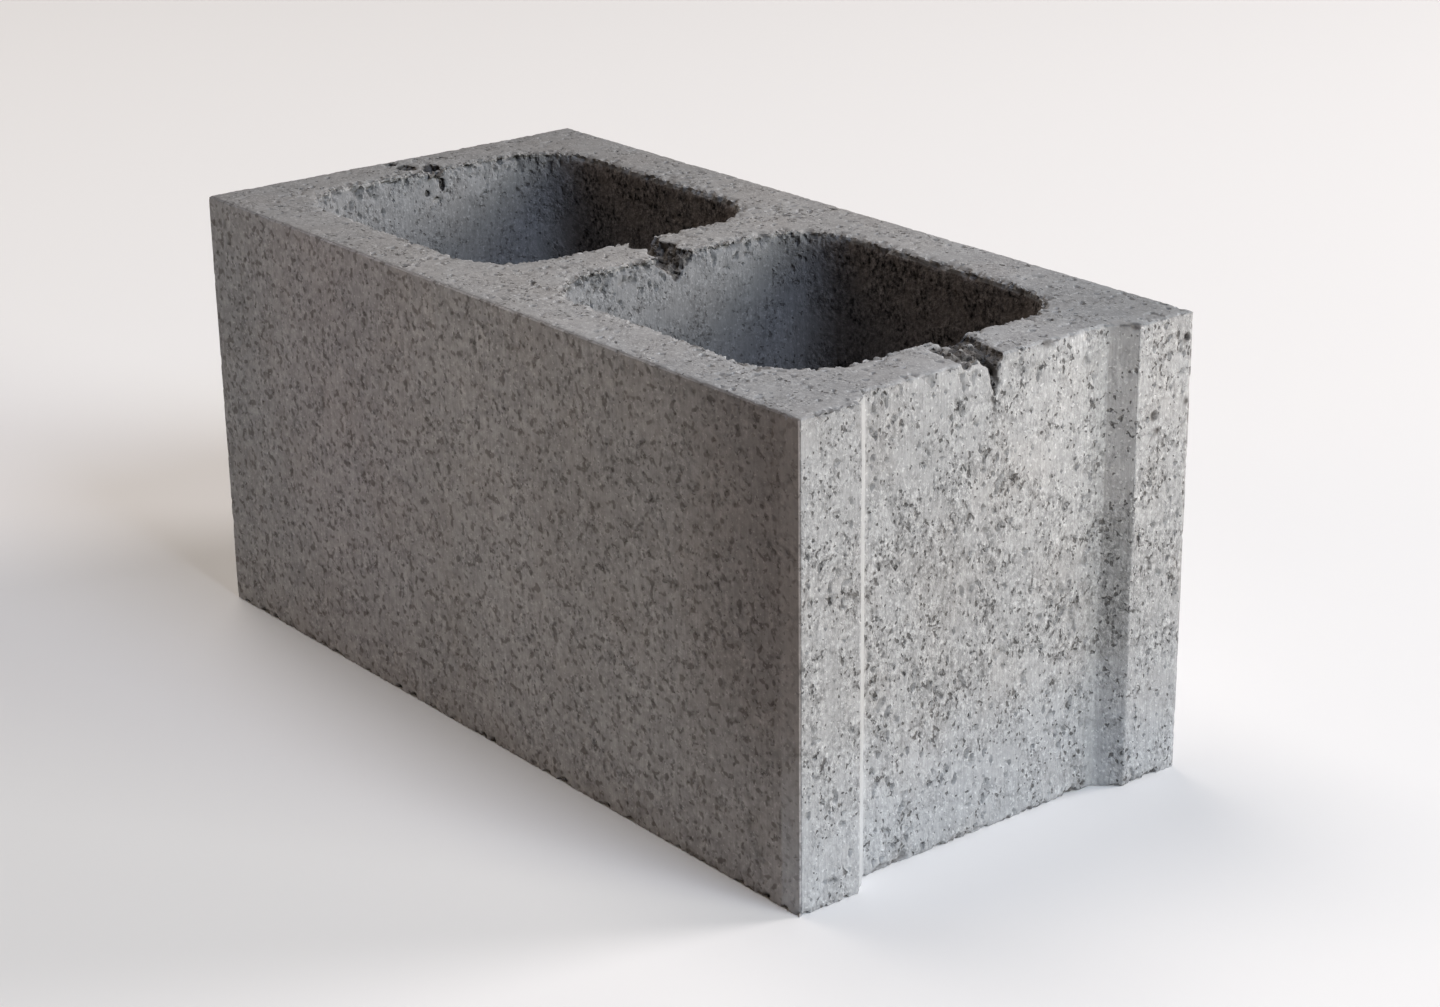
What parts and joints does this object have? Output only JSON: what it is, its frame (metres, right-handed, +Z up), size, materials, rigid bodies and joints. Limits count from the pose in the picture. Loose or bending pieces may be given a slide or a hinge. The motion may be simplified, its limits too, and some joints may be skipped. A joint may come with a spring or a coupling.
{
  "type": "hollow concrete masonry block",
  "caption": "Hollow concrete building block with two tapered round-cornered cores, one plain end and one end with a shallow mortar recess between ears.",
  "frame": {"origin": "centre of the bed face, the face the block stands on", "axes": "+X along the length towards the recessed end, +Y across the width, +Z up to the face that shows the core bar marks"},
  "size_m": [0.39, 0.19, 0.185],
  "materials": {
    "concrete": "dry-cast concrete, open pitted texture, grey, unpainted"
  },
  "bodies": {
    "root": {"block": "concrete"}
  },
  "joints": []
}
